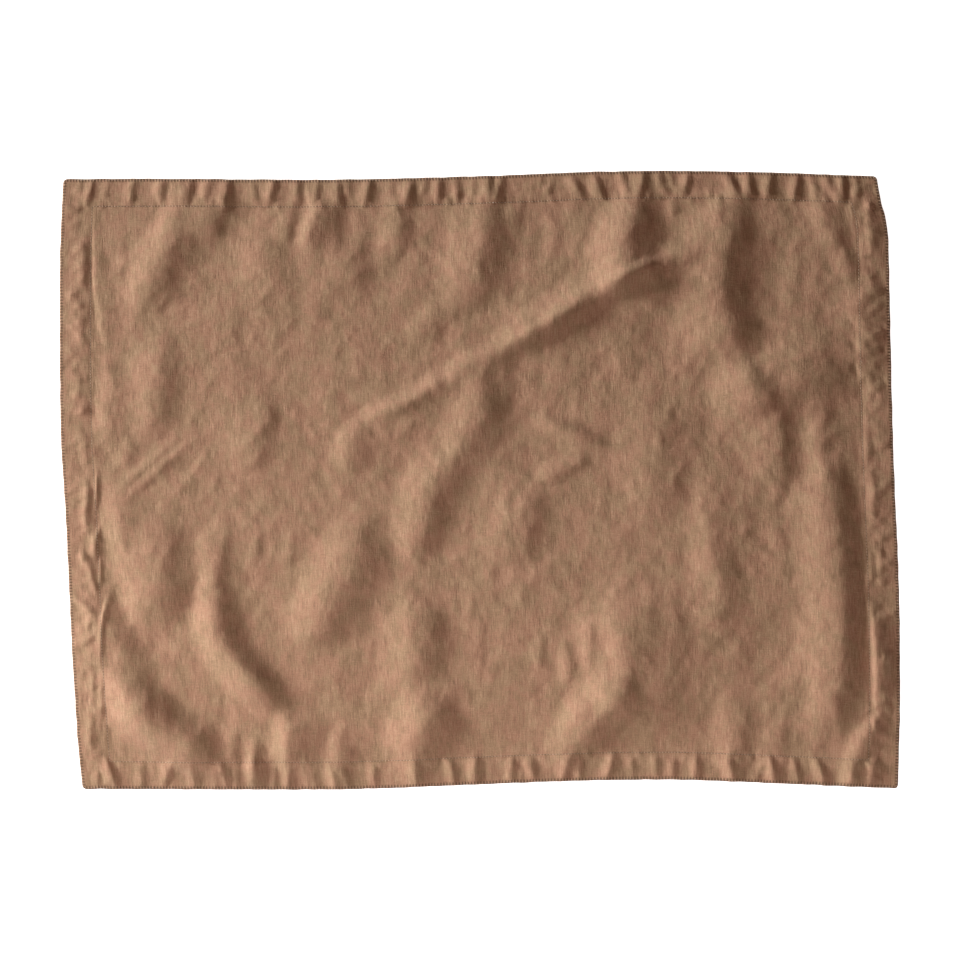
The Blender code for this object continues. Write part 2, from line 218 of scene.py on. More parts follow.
# Narrow creases and pinches, in the same columns.
CREASES = (
    # along the left hem, from the top
    (((-216, 66), (-219, 88), (-222.5, 110), (-223.2, 132), (-223, 170)), 2.6, 14, 1.1, 0.0, 0.8),
    (((-230, 106), (-230, 128), (-229, 150)), 7, 4.5, 1.3, 0.0, 0.8),
    (((-234, 141), (-233.5, 148), (-233, 155)), 3, 2.5, 0.6, 0.0, 0.8),
    (((-230, 70), (-231, 82), (-230, 94)), 5, 3.5, 0.5, 0.0, 0.8),
    (((-233, 40), (-232.5, 54), (-233, 68)), 6, 3.5, 0.6, 0.0, 0.8),
    (((-229, 30), (-230, 42), (-229, 52)), 4, 3.5, 0.5, 0.0, 0.8),
    (((-226, 6), (-229, 16), (-228, 26)), 5, 3.0, 1.1, 0.0, 0.8),
    (((-227, -34), (-228.5, -20), (-227.5, -8), (-229.5, 4)), 5, 3.6, 1.9, 0.0, 0.8),
    (((-222.5, -20), (-222.2, -6), (-221.5, 10)), 2.5, 2.2, 1.0, 0.0, 0.8),
    (((-231, -34), (-230, -46), (-227, -58)), 3.5, 3.0, 1.2, 0.0, 0.8),
    (((-221.5, -46), (-223.5, -38), (-219, -24)), 4, 3.4, 1.8, 0.0, 0.8),
    (((-221, -70), (-225, -56), (-228, -42)), 3.5, 3.2, 1.6, 0.0, 0.8),
    (((-220.5, -66), (-220, -54), (-220, -42)), 2.0, 2.6, 0.9, 0.0, 1.0),
    (((-219.5, -112), (-219.8, -98), (-219.2, -84), (-216, -70), (-210, -55)), 2.2, 3.4, 1.5, 0.0, 1.0),
    (((-220, -82), (-227, -75), (-238, -66)), 4, 4, 1.2, 0.0, 1.0),
    (((-226.5, -90), (-227, -84), (-226, -77)), 3, 2.4, 1.1, 0.0, 0.8),
    (((-225, -128), (-224, -118), (-226, -106)), 3.5, 3.0, 1.1, 0.0, 0.8),
    (((-220.5, -146), (-219.5, -130), (-219.5, -112)), 2.2, 3.0, 1.0, 0.0, 1.0),
    (((-224, -160), (-226, -148), (-226, -136)), 4, 3.0, 1.0, 0.0, 0.8),
    # fine ones across the cloth beside it
    (((-212, -18), (-193, 1), (-174, 17), (-160, 27)), 4, 6, 1.2, 0.0, 0.8),
    (((-214, -10), (-201, 2), (-184, 16), (-174, 26)), 6, 6, 1.0, 0.0, 0.8),
    (((-172, -2), (-162, 10), (-154, 24)), 3, 4, 0.6, 0.0, 1.0),
    # pinched together in the lower middle
    (((34, -114), (34.5, -101), (35, -88)), 8, 6, 1.3, 0.0, 0.8),
    (((50, -124), (51.5, -106), (48.5, -90)), 8, 6, 1.6, 0.0, 0.8),
    (((62, -112), (63.5, -94), (61, -76)), 7, 6, 1.3, 0.0, 0.8),
    (((80, -118), (82, -100), (78, -84), (70, -70)), 11, 26, 1.8, 0.0, 0.5),
    (((158, -130), (166, -121), (176, -115), (192, -122)), 6, 12, 0.6, 0.0, 0.8),
    # along the right hem, from the top
    (((227, 118), (226.5, 134), (225, 150), (222, 178)), 3, 9, 1.0, 0.0, 0.8),
    (((215, 112), (213, 124), (211, 138)), 7, 9, 1.2, 0.0, 0.6),
    (((220, 86), (210, 97)), 2.2, 2.2, -0.9, 0.0, 1.0),
    (((220.5, 73), (213, 83)), 2.2, 2.2, -0.9, 0.0, 1.0),
    (((221, 59), (214, 69)), 2.2, 2.2, -0.9, 0.0, 1.0),
    (((215, 99), (208, 108)), 2.2, 2.2, -0.6, 0.0, 1.0),
    (((237, 109), (231, 116)), 2, 2, -0.9, 0.0, 1.0),
    (((237, 84), (231, 92)), 2, 2, -0.9, 0.0, 1.0),
    (((237, 71), (231, 79)), 2, 2, -0.8, 0.0, 1.0),
    (((237.5, 54), (231, 60)), 2, 2, -0.9, 0.0, 1.0),
    (((226, 40), (226, 52), (227, 64)), 4, 4, 0.7, 0.0, 0.8),
    (((224, 8), (225, 20), (224, 34)), 4, 4, 0.7, 0.0, 0.8),
    (((227, -32), (228, -12), (227, 8)), 5, 4, 1.2, 0.0, 0.8),
    (((233, -58), (232, -47), (233, -36)), 4, 2.6, 1.0, 0.0, 0.8),
    (((224, -66), (227, -54), (226, -40)), 4, 4, 1.1, 0.0, 0.8),
    (
        ((229.0, -148), (229.4, -128), (229.2, -108), (228.4, -92), (226.5, -76), (223.5, -56)),
        3.6, 12, 3.8, 0.0, 1.0,
    ),
    (((235, -118), (235.5, -106), (233, -94)), 4, 4, 1.2, 0.0, 0.8),
    (((218, -126), (223, -130), (229, -126)), 2.2, 2.2, 0.9, 0.0, 1.0),
    (((221, -137), (226, -132), (233, -134)), 2.2, 2.4, 0.9, 0.0, 1.0),
    (((231, -146), (226, -136)), 2.4, 3, 0.9, 0.0, 1.0),
    (((232, -124), (236, -130), (238, -138)), 2.4, 3, 0.9, 0.0, 1.0),
)
# How far a fold fades in and out, at most, how much of its width is left at its ends, and the length of
# the straight steps of its crest.
FOLD_FADE = 36.0
FOLD_FADE_SHARE = 0.4
FOLD_END_WIDTH = 0.5
CREST_STEP = 6.0

# Puckers that the sewing draws into the hem: the place of each along its edge (x on the long edges, y
# on the short ones), how far it leans along the edge, and its height before the scale of its edge.
# columns: place, lean, rise
TOP_PUCKERS = (
    (-229, -1, 0.6), (-222.5, -3, 1.3), (-213, -2.5, 1.1), (-199, -2.5, 1.7), (-184, -1, 0.8),
    (-181, -2, 1.2), (-176, 2, 0.9), (-171, 0, 1.2), (-166, -2, 1.3), (-155, -3, 0.9), (-144, -2, 2.0),
    (-130, 2, 1.1), (-117, -3, 1.3), (-103.5, 0, 1.2), (-97, 0, 0.6), (-92, -2, 1.4), (-80.5, 1, 1.5),
    (-74, 0, 0.6), (-62, -3, 1.8), (-49, 0, 0.6), (-38, -2, 1.7), (-29, -3, 1.0), (-21.5, -1, 1.4),
    (-11.5, 1, 1.3), (-2, 0, 0.7), (7, 0, 1.6), (15, -4, 1.6), (33, -1, 0.7), (38, -2, 1.0),
    (45, -4, 1.2), (55, 6, 1.4), (68, 5, 1.5), (84, 4, 1.2), (97, -3, 1.7), (106, 3, 1.3),
    (112, 4, 0.8), (123, -3, 1.5), (146, 6, 1.7), (157.5, 1, 1.9), (171, -3, 1.5), (186, -2, 1.8),
    (194, 4, 1.0), (203, 6, 1.4), (212, 0, 1.7), (220, 1, 0.8),
)
BOTTOM_PUCKERS = (
    (-219.5, 0, 0.8), (-209, -5, 1.9), (-194, 0, 1.0), (-181, 4, 1.5), (-163, -2, 1.2), (-151, -1, 0.9),
    (-144.5, -3, 1.4), (-139, 0, 0.8), (-129, 0, 2.3), (-125, -3, 0.8), (-117, 0, 1.0), (-108.5, 0, 1.3),
    (-97, -3, 0.8), (-92, -5, 0.9), (-81, -4, 1.4), (-74.5, -3, 1.2), (-59, 0, 1.3), (-52, 3, 0.6),
    (-34, -2, 1.6), (-13, -2, 1.6), (-0.5, 0, 1.9), (11, -3, 0.8), (20.5, 0, 1.3), (33, -2, 1.4),
    (50, 5, 1.5), (60, 0, 1.0), (76.5, 3, 1.7), (91, 0, 0.7), (104.5, 0, 1.3), (114, 0, 1.2),
    (127.5, 0, 1.4), (149, -3, 1.5), (162, 4, 0.8), (173, -3, 1.7), (186.5, -2, 1.2), (202, -4, 1.6),
    (218, 0, 1.3), (228, 4, 2.1),
)
LEFT_PUCKERS = (
    (-150, 3, 0.6), (-122, -3, 0.6), (-96, 4, 0.7), (-68, -7, 0.9), (-40, -6, 0.7), (-8, 5, 0.7),
    (18, 5, 0.6), (46, -4, 0.4), (74, 4, 0.4), (98, -3, 0.4), (130, 4, 0.5), (158, -3, 0.6),
)
RIGHT_PUCKERS = (
    (-152, 4, 1.0), (-128, 5, 1.1), (-76, -6, 1.2), (-52, 5, 0.9), (-30, -5, 0.9), (-6, 4, 0.7),
    (22, -4, 0.8), (42, 3, 0.7), (57, -5, 1.0), (72, -5, 0.9), (88, -5, 0.8), (112, -5, 0.9), (140, 4, 0.6),
)
# The flanks of a pucker, and how far it runs outside and inside its edge.
PUCKER_LEFT = 6.0
PUCKER_RIGHT = 3.0
PUCKER_OUTSIDE = 3.5
PUCKER_INSIDE = 17.0
# The flanks and the run inside change with the height.
# columns: share of the size for any pucker, share more for each millimetre of height
PUCKER_BREADTH = (0.70, 0.25)
PUCKER_REACH = (0.65, 0.30)
# How much of the lean its outer and its inner end have, how many right flanks the crest lies before its
# place on a long edge, and how pointed it is.
PUCKER_LEAN = (-0.5, 1.4)
PUCKER_CREST = 0.7
PUCKER_POINT = 0.8

# The four edges of the mat.
# columns: curve, axis that it runs along, way inward, depth of its hem, puckers, scale of their height
EDGES = {
    "top": (TOP_EDGE, 0, -1, LONG_HEM_DEPTH, TOP_PUCKERS, 1.08),
    "bottom": (BOTTOM_EDGE, 0, 1, LONG_HEM_DEPTH, BOTTOM_PUCKERS, 1.40),
    "left": (LEFT_EDGE, 1, 1, SHORT_HEM_DEPTH, LEFT_PUCKERS, 1.0),
    "right": (RIGHT_EDGE, 1, -1, SHORT_HEM_DEPTH, RIGHT_PUCKERS, 1.0),
}

# The small puckers along the seam, between the large ones: where their middle is in the hem's depth, the
# distance from each to the next and how it wanders, how far one leans, its flank and length, and its
# mean and uneven height.
# columns: edge, middle, pitch, wander, lean, flank, length, rise, uneven
SEAM_PUCKERS = (
    ("top", 0.80, 6.1, 2.6, 1.6, 2.8, 9.0, 0.42, 0.72),
    ("bottom", 0.80, 6.3, 2.4, -1.6, 2.8, 9.0, 0.42, 0.72),
    ("left", 0.55, 8.3, 2.8, 4.5, 3.4, 11.0, 0.42, 0.64),
    ("right", 0.55, 8.9, 3.0, 4.5, 3.4, 11.0, 0.42, 0.68),
    ("left", 0.55, 10.7, 3.8, -5.0, 4.2, 13.0, 0.44, 0.68),
    ("right", 0.55, 11.3, 4.0, -5.0, 4.2, 13.0, 0.44, 0.68),
)
# How far their middle strays in the hem's depth, the share of the flank on their far side, and how
# pointed they are.
SEAM_PUCKER_STRAY = 0.35
SEAM_PUCKER_FAR_FLANK = 0.8
SEAM_PUCKER_POINT = 0.6
# What is uneven in them follows smooth noise.
# columns: turn from each pucker to the next, start of the noise
WANDER_NOISE = (0.9, 1.5)
STRAY_NOISE = (1.3, 4.5)
LEAN_NOISE = (1.1, 7.5)
RISE_NOISE = (1.7, 11.5)

# Crumple of the washed cloth, millimetres: how long its waves are across and along the mat's short
# side, how high they stand, and how much of them is sharp facets rather than soft waves.
# columns: across, upward, rise, sharp, start of the noise
CRUMPLE = (
    (40.0, 46.0, 1.10, 0.0, 3.0),
    (19.0, 21.0, 0.55, 0.0, 17.0),
    (14.0, 15.0, 0.55, 1.0, 29.0),
    (8.0, 8.6, 0.26, 1.0, 41.0),
    (4.6, 5.0, 0.060, 1.0, 57.0),
)
# A facet is a wave folded up at its middle: the height of that ridge, the slope beside it and how soft
# it is.
FACET_TOP = 0.5
FACET_SLOPE = 2.0
FACET_SOFTNESS = 0.06

# The middle of the mat lies this much above its edge, reached this far in, and the cloth comes down on
# the surface this softly.
REST_LIFT = 1.4
REST_LIFT_DEPTH = 58.0
REST_SOFTNESS = 0.3

# The outline's small waves, drawn in by the puckers: their length, size, how far in they reach, and the
# starts of their noise along x and y.
WOBBLE_LENGTH = 7.0
WOBBLE = 0.3
WOBBLE_DEPTH = 12.0
WOBBLE_STARTS = (5.0, 9.0)

# --- Sewing, millimetres ------------------------------------------------------------------------------
# columns: pitch, share of the pitch that a stitch takes, thread radius, height of its arc
HEM_STITCH = (1.75, 0.66, 0.24, 0.26)
EDGE_STITCH = (1.78, 0.50, 0.26, 0.12)
EDGE_SEAM_INSET = 0.8
# The rings and sides of a stitch, how far its ends dip into the cloth, and the thread's share left there.
STITCH_RINGS = 5
STITCH_SIDES = 5
STITCH_DIP = 0.25
STITCH_END = 0.7
# How far stitches stray from their line, and how uneven their share of the pitch is, in smooth noise.
# columns: size, turn for each millimetre, start of the noise
STITCH_STRAY = (0.22, 0.11, 7.0)
STITCH_UNEVEN = (0.12, 1.9, 3.0)

# --- Finish: colours in linear light, lengths in millimetres ------------------------------------------
LINEN_DEEP = (0.215, 0.109, 0.067)
LINEN_WARM = (0.334, 0.166, 0.102)
LINEN_OLIVE = (0.286, 0.166, 0.093)
LINEN_PALE = (0.400, 0.230, 0.146)
# Roughness spreads over the range that most of a noise lies in.
NOISE_RANGE = (0.3, 0.7)
LINEN_ROUGHNESS = (0.82, 0.95)
LINEN_SPECULAR = 0.25
LINEN_SHEEN = 0.16
LINEN_SHEEN_ROUGHNESS = 0.45
LINEN_SHEEN_TINT = (0.92, 0.84, 0.76, 1.0)

# The cloudy dye between the olive and the warm colour: two lengths of its noise, detail, roughness and
# distortion, and the part of the noise over which the colours change.
DYE = (15.0, 19.0, 5.0, 0.80, 0.3)
DYE_RANGE = (0.42, 0.58)
# The unevenness of the threads: two lengths of each noise, and how much it counts in the tone and in the
# relief.
# columns: layer, length along x, length along y, detail, roughness, tone, relief
THREADS = (
    ("warp", 0.50, 8.0, 2.0, 0.60, 0.35, 0.22),
    ("weft", 6.0, 0.50, 2.0, 0.60, 0.15, 0.18),
    ("streaks", 1.8, 14.0, 2.0, 0.60, 0.14, 0.0),
    ("flecks", 0.7, 0.9, 2.0, 0.70, 0.22, 0.0),
    ("patches", 5.0, 8.0, 3.0, 0.65, 0.14, 0.0),
    ("crumple", 4.4, 4.4, 2.0, 0.50, 0.0, 0.38),
)
# The tone turns deep or pale this far from its middle, and by this much.
TONE_MIDDLE = 0.50
TONE_REACH = 0.09
TONE_STRENGTH = 0.80
# The weave: the distance between its threads, its relief, and how many threads it drifts in its noise.
THREAD_PITCH = 0.32
WEAVE_RELIEF = 0.022
WEAVE_DRIFT = 2.4
WEAVE_DRIFT_LENGTHS = (2.4, 18.0)

# The colour of the painted shade in the needle holes and between the edge's stitches. The needle holes'
# painted shade: how dark, the radii that it fades between, and how much of the seam's ends it takes to fade
# in.
PAINTED_SEAM_SHADE = (0.100, 0.050, 0.030)
PAINTED_HOLE_SHADE = 0.40
HOLE_RADII = (0.6, 0.2)
HOLE_FROM_END = 1.0
# The painted shade between the edge's stitches, in ticks: how dark, the part of their wave in which they
# fade, how broad their band is, and the share of it in which they are full.
PAINTED_TICK_SHADE = (0.0, 0.85)
TICK_RANGE = (-0.4, 0.5)
TICK_WIDTH = 2.3
TICK_FULL_WIDTH = 0.7

# The sewing thread: its colour, the share of it in its dark parts, their length and fade, and the twist
# of its yarn.
THREAD_COLOR = (0.420, 0.265, 0.170)
THREAD_DARK = 0.6
THREAD_PATCH = 2.0
THREAD_RANGE = (0.35, 0.65)
THREAD_ROUGHNESS = (0.6, 0.8)
THREAD_SHEEN = 0.1
THREAD_TWIST = 900.0
THREAD_TWIST_STRENGTH = 0.5
THREAD_TWIST_RELIEF = 0.05

# The pale floor.
FLOOR_COLORS = ((0.90, 0.90, 0.90), (0.93, 0.93, 0.93))
FLOOR_PATCH = 60.0
FLOOR_ROUGHNESS = 0.9
FLOOR_GLOW = 0.9

# --- Camera, light and floor, metres and watts --------------------------------------------------------
FRAME_SIZE = 0.5568
CAMERA_HEIGHT = 2.6
SENSOR = 36.0
FLOOR_SIZE = 6.0
# A low key light from the left of the mat, a strip along its near side and a weak soft fill.
# columns: name, azimuth, elevation, distance, length, breadth, power, color
LIGHTS = (
    ("key", 163.0, 17.0, 3.0, 0.9, 0.9, 189.0, (0.88, 0.98, 1.0)),
    ("strip", 250.0, 42.0, 0.45, 1.4, 0.12, 2.30, (0.96, 0.99, 1.0)),
    ("fill", 20.0, 70.0, 2.4, 2.0, 2.0, 4.6, (1.0, 0.72, 0.56)),
)
SKY_COLOR = (1.0, 0.74, 0.58, 1.0)
SKY_STRENGTH = 0.12


# --- The shape of the cloth ---------------------------------------------------------------------------

def smooth_curve(points, count):
    """Return count points of the Catmull-Rom curve through the given points."""
    known = np.array(points, float)
    known = np.vstack([2 * known[0] - known[1], known, 2 * known[-1] - known[-2]])
    spans = len(known) - 3
    place = np.linspace(0, spans, count)
    span = np.minimum(place.astype(int), spans - 1)
    t = (place - span)[:, None]
    a, b, c, d = known[span], known[span + 1], known[span + 2], known[span + 3]
    bend = (2 * a - 5 * b + 4 * c - d) * t**2
    twist = (3 * b - a - 3 * c + d) * t**3
    return 0.5 * (2 * b + (c - a) * t + bend + twist)


def curve_length(points):
    """Return the length of the curve through the points."""
    line = smooth_curve(points, CURVE_STEPS)
    return np.linalg.norm(np.diff(line, axis=0), axis=1).sum()


def along_edge(points, share):
    """Return the points at the given shares of an edge's length."""
    line = smooth_curve(points, CURVE_STEPS)
    steps = np.linalg.norm(np.diff(line, axis=0), axis=1)
    length = np.concatenate([[0.0], np.cumsum(steps)])
    length /= length[-1]
    x = np.interp(share, length, line[:, 0])
    y = np.interp(share, length, line[:, 1])
    return np.stack([x, y], axis=-1)


WIDTH = curve_length(TOP_EDGE)
DEPTH = curve_length(LEFT_EDGE)


def ease(t):
    """Ease from 0 to 1."""
    t = np.clip(t, 0, 1)
    return t * t * (3 - 2 * t)


def smooth_noise(a, b, c):
    """Return a smooth noise, about -1 to 1."""
    return noise.noise(Vector((a, b, c)))


def noise_at(x, y, start):
    """Return smooth noise at the points x and y."""
    return np.array([smooth_noise(a, b, start) for a, b in zip(x, y)])


def laid_place(along, up):
    """Return where points of the flat cloth, given from its lower left corner, lie inside the outline."""
    u, v = along / WIDTH, up / DEPTH
    bottom, top = along_edge(BOTTOM_EDGE, u), along_edge(TOP_EDGE, u)
    left, right = along_edge(LEFT_EDGE, v), along_edge(RIGHT_EDGE, v)
    u, v = u[:, None], v[:, None]
    across = (1 - v) * bottom + v * top
    upward = (1 - u) * left + u * right
    low = (1 - u) * np.array(BOTTOM_EDGE[0]) + u * np.array(BOTTOM_EDGE[-1])
    high = (1 - u) * np.array(TOP_EDGE[0]) + u * np.array(TOP_EDGE[-1])
    return across + upward - (1 - v) * low - v * high


def round_corners(along, up):
    """Draw the flat cloth's points in round its four corners."""
    from_side = np.minimum(along, WIDTH - along)
    from_end = np.minimum(up, DEPTH - up)
    a = np.clip(1 - from_side / CORNER_RADIUS, 0, 1)
    b = np.clip(1 - from_end / CORNER_RADIUS, 0, 1)
    drawn_a = CORNER_RADIUS * a * (1 - np.sqrt(1 - b**2 / 2))
    drawn_b = CORNER_RADIUS * b * (1 - np.sqrt(1 - a**2 / 2))
    return along + np.sign(WIDTH / 2 - along) * drawn_a, up + np.sign(DEPTH / 2 - up) * drawn_b


def add_fold(height, x, y, row):
    """Add one fold to the heights of the points x and y."""
    points, left, right, rise, swell, point = row
    length = curve_length(points)
    crest = smooth_curve(points, 2 + int(length / CREST_STEP))
    reach = max(left, right)
    low, high = crest.min(axis=0) - reach, crest.max(axis=0) + reach
    near = (x > low[0]) & (x < high[0]) & (y > low[1]) & (y < high[1])
    px, py = x[near], y[near]
    nearest = np.full(px.shape, np.inf)
    side = np.zeros(px.shape)
    share = np.zeros(px.shape)
    for index, (a, b) in enumerate(zip(crest[:-1], crest[1:])):
        run = b - a
        t = np.clip(((px - a[0]) * run[0] + (py - a[1]) * run[1]) / (run @ run), 0, 1)
        dx = px - a[0] - t * run[0]
        dy = py - a[1] - t * run[1]
        distance = np.hypot(dx, dy)
        closer = distance < nearest
        nearest = np.where(closer, distance, nearest)
        side = np.where(closer, run[0] * dy - run[1] * dx, side)
        share = np.where(closer, (index + t) / (len(crest) - 1), share)
    fade = ease(np.minimum(share, 1 - share) / min(FOLD_FADE / length, FOLD_FADE_SHARE))
    width = np.where(side > 0, left, right) * (FOLD_END_WIDTH + (1 - FOLD_END_WIDTH) * fade)
    flank = (nearest / width) ** 2
    profile = np.clip(1 - flank, 0, None) ** 2 / (1 + point * flank)
    height[near] += rise * (1 + swell * (share - 0.5)) * fade * profile


def pucker_ends(curve, axis, inward, place, along, inside):
    """Return the two ends of a pucker: how far along its edge from its place, and how far inside."""
    line = np.array(curve)
    foot = np.interp(place, line[:, axis], line[:, 1 - axis])
    ends = [(place + way, foot + inward * depth) for way, depth in zip(along, inside)]
    return ends if axis == 0 else [(across, way) for way, across in ends]


def pucker_rows():
    """Work out the folds of the puckers, each from outside its edge to just inside the hem."""
    rows = []
    for curve, axis, inward, _, puckers, scale in EDGES.values():
        shift = PUCKER_CREST * PUCKER_RIGHT if axis == 0 else 0.0
        for place, lean, rise in puckers:
            reach = PUCKER_INSIDE * (PUCKER_REACH[0] + PUCKER_REACH[1] * rise)
            along = [share * lean - shift for share in PUCKER_LEAN]
            ends = pucker_ends(curve, axis, inward, place, along, (-PUCKER_OUTSIDE, reach))
            ends.sort(key=lambda end: end[1 - axis])
            breadth = PUCKER_BREADTH[0] + PUCKER_BREADTH[1] * rise
            left, right = PUCKER_LEFT * breadth, PUCKER_RIGHT * breadth
            rows.append((ends, left, right, scale * rise, 0.0, PUCKER_POINT))
    return rows


def seam_pucker_rows():
    """Work out the folds of the small puckers that cross the seam, or lie in the side hems."""
    rows = []
    for name, middle, pitch, wander, lean, flank, length, rise, uneven in SEAM_PUCKERS:
        curve, axis, inward, depth, _, _ = EDGES[name]
        low, high = sorted((curve[0][axis], curve[-1][axis]))
        for index in range(int((high - low) / pitch)):
            astray, deeper, leaning, higher = (
                smooth_noise(turn * index, pitch, start)
                for turn, start in (WANDER_NOISE, STRAY_NOISE, LEAN_NOISE, RISE_NOISE)
            )
            place = low + (index + 0.5) * pitch + wander * astray
            centre = depth * (middle + SEAM_PUCKER_STRAY * deeper)
            tilt = lean * (1 + leaning)
            inside = (centre - length / 2, centre + length / 2)
            ends = pucker_ends(curve, axis, inward, place, (-tilt, tilt), inside)
            ends.sort(key=lambda end: end[1])
            height = max(rise + uneven * higher, 0.0)
            far_flank = SEAM_PUCKER_FAR_FLANK * flank
            rows.append((ends, flank, far_flank, height, 0.0, SEAM_PUCKER_POINT))
    return rows


FOLDS = (*MAIN_FOLDS, *SIDE_FOLDS, *CREASES, *pucker_rows(), *seam_pucker_rows())


def rest_height(x, y, from_edge):
    """Return the height of the underside at points x and y of the laid mat, so far from its edge."""
    height = REST_LIFT * ease(from_edge / REST_LIFT_DEPTH)
    for row in FOLDS:
        add_fold(height, x, y, row)
    for across, upward, rise, sharp, start in CRUMPLE:
        wave = noise_at(x / across, y / upward, start)
        facet = FACET_TOP - FACET_SLOPE * np.sqrt(wave**2 + FACET_SOFTNESS**2)
        height += rise * (wave + sharp * (facet - wave))
    return 0.5 * (height + np.sqrt(height**2 + REST_SOFTNESS**2))


def thickness(along, up):
    """Return the thickness of the cloth at points of the flat cloth."""
    from_side = np.minimum(along, WIDTH - along)
    from_end = np.minimum(up, DEPTH - up)
    from_edge = np.minimum(from_side, from_end)
    inside = np.minimum(from_side - SHORT_HEM_DEPTH, from_end - LONG_HEM_DEPTH)
    uneven = noise_at(along / HEM_UNEVEN_LENGTH, up / HEM_UNEVEN_LENGTH, HEM_UNEVEN_START)
    turned = (1 + HEM_UNEVEN * uneven) * ease(0.5 - inside / HEM_STEP)
    layers = CLOTH_THICKNESS + (HEM_THICKNESS - CLOTH_THICKNESS) * turned
    roll = np.sqrt(1 - (1 - np.clip(from_edge / EDGE_ROLL, 0, 1)) ** 2)
    groove = SEAM_GROOVE_DEPTH * np.exp(-(((inside + SEAM_FROM_HEM) / SEAM_GROOVE_WIDTH) ** 2))
    return EDGE_THICKNESS + (layers - EDGE_THICKNESS) * roll - groove


def cloth_points(along, up, upper=True):
    """Return the laid points (x, y, z) of the flat cloth's points, on its upper or its lower face."""
    from_side = np.minimum(along, WIDTH - along)
    from_end = np.minimum(up, DEPTH - up)
    from_edge = np.minimum(from_side, from_end)
    wobble = WOBBLE * ease(1 - from_edge / WOBBLE_DEPTH)
    place = laid_place(*round_corners(along, up))
    x, y = (
        place[:, axis] + wobble * noise_at(along / WOBBLE_LENGTH, up / WOBBLE_LENGTH, start)
        for axis, start in enumerate(WOBBLE_STARTS)
    )
    z = rest_height(x, y, from_edge)
    if upper:
        z = z + thickness(along, up)
    return np.stack([x, y, z], axis=-1)


def lines_of(length, hem):
    """Return where the sheet has its lines of points, along one side of the flat cloth: an odd count."""
    step_start = hem + STEP_LINES[0]
    step_end = hem + STEP_LINES[-1]
    hem_count = round((step_start - EDGE_LINES[-1]) / HEM_LINE)
    hem_lines = np.linspace(EDGE_LINES[-1], step_start, hem_count + 1)[1:-1]
    low = [*EDGE_LINES, *hem_lines, *(hem + line for line in STEP_LINES)]
    half_count = math.ceil(round((length - 2 * step_end) / MIDDLE_LINE) / 2)
    middle = np.linspace(step_end, length - step_end, 2 * half_count + 1)[1:-1]
    high = [length - line for line in reversed(low)]
    return np.array([*low, *middle, *high])


def grid_faces(columns, rows, start, flip):
    """Return the four-sided faces of a grid of points, column by column in each row."""
    index = start + np.arange(columns * rows).reshape(rows, columns)
    corners = [index[:-1, :-1], index[:-1, 1:], index[1:, 1:], index[1:, :-1]]
    if flip:
        corners.reverse()
    return np.stack([corner.ravel() for corner in corners], axis=-1).tolist()


def ring(columns, rows):
    """Return the places in a grid of the points round its outside, anticlockwise from the first."""
    index = np.arange(columns * rows).reshape(rows, columns)
    return [*index[0, :-1], *index[:-1, -1], *index[-1, :0:-1], *index[:0:-1, 0]]


def make_cloth():
    """Make the sheet: a fine upper face, a lower face of every other point, and the rim between."""
    along_lines = lines_of(WIDTH, SHORT_HEM_DEPTH)
    up_lines = lines_of(DEPTH, LONG_HEM_DEPTH)
    columns, rows = len(along_lines), len(up_lines)
    along, up = np.meshgrid(along_lines, up_lines)
    under_along, under_up = np.meshgrid(along_lines[::2], up_lines[::2])
    top = cloth_points(along.ravel(), up.ravel())
    under = cloth_points(under_along.ravel(), under_up.ravel(), upper=False)

    under_columns, under_rows = (columns + 1) // 2, (rows + 1) // 2
    faces = grid_faces(columns, rows, 0, flip=False)
    faces += grid_faces(under_columns, under_rows, len(top), flip=True)
    outer = ring(columns, rows)
    inner = [len(top) + index for index in ring(under_columns, under_rows)]
    for place, low in enumerate(inner):
        a, b = outer[2 * place], outer[2 * place + 1]
        c = outer[(2 * place + 2) % len(outer)]
        after = inner[(place + 1) % len(inner)]
        faces += [(low, b, a), (low, after, b), (after, c, b)]

    mesh = bpy.data.meshes.new("mat_cloth")
    points = np.vstack([top, under]) * MM
    mesh.from_pydata(points.tolist(), [], [[int(i) for i in face] for face in faces])
    flat = np.vstack([
        np.stack([along.ravel(), up.ravel()], axis=-1),
        np.stack([under_along.ravel(), under_up.ravel()], axis=-1),
    ]) * MM
    corners = np.empty(len(mesh.loops), dtype=np.int32)
    mesh.loops.foreach_get("vertex_index", corners)
    weave = mesh.uv_layers.new(name="weave")
    weave.data.foreach_set("uv", flat[corners].ravel())
    mesh.shade_smooth()
    return new_piece("mat_cloth", mesh)


def new_piece(name, mesh):
    """Add an object with this mesh to the scene."""
    piece = bpy.data.objects.new(name, mesh)
    bpy.context.scene.collection.objects.link(piece)
    return piece


# --- Sewing -------------------------------------------------------------------------------------------

def seam_rectangle(from_side, from_end):
    """Return the four straight runs of a seam round the flat cloth: start, end."""
    low_x, high_x = from_side, WIDTH - from_side
    low_y, high_y = from_end, DEPTH - from_end
    return (
        ((low_x, low_y), (high_x, low_y)),
        ((high_x, low_y), (high_x, high_y)),
        ((high_x, high_y), (low_x, high_y)),
        ((low_x, high_y), (low_x, low_y)),
    )


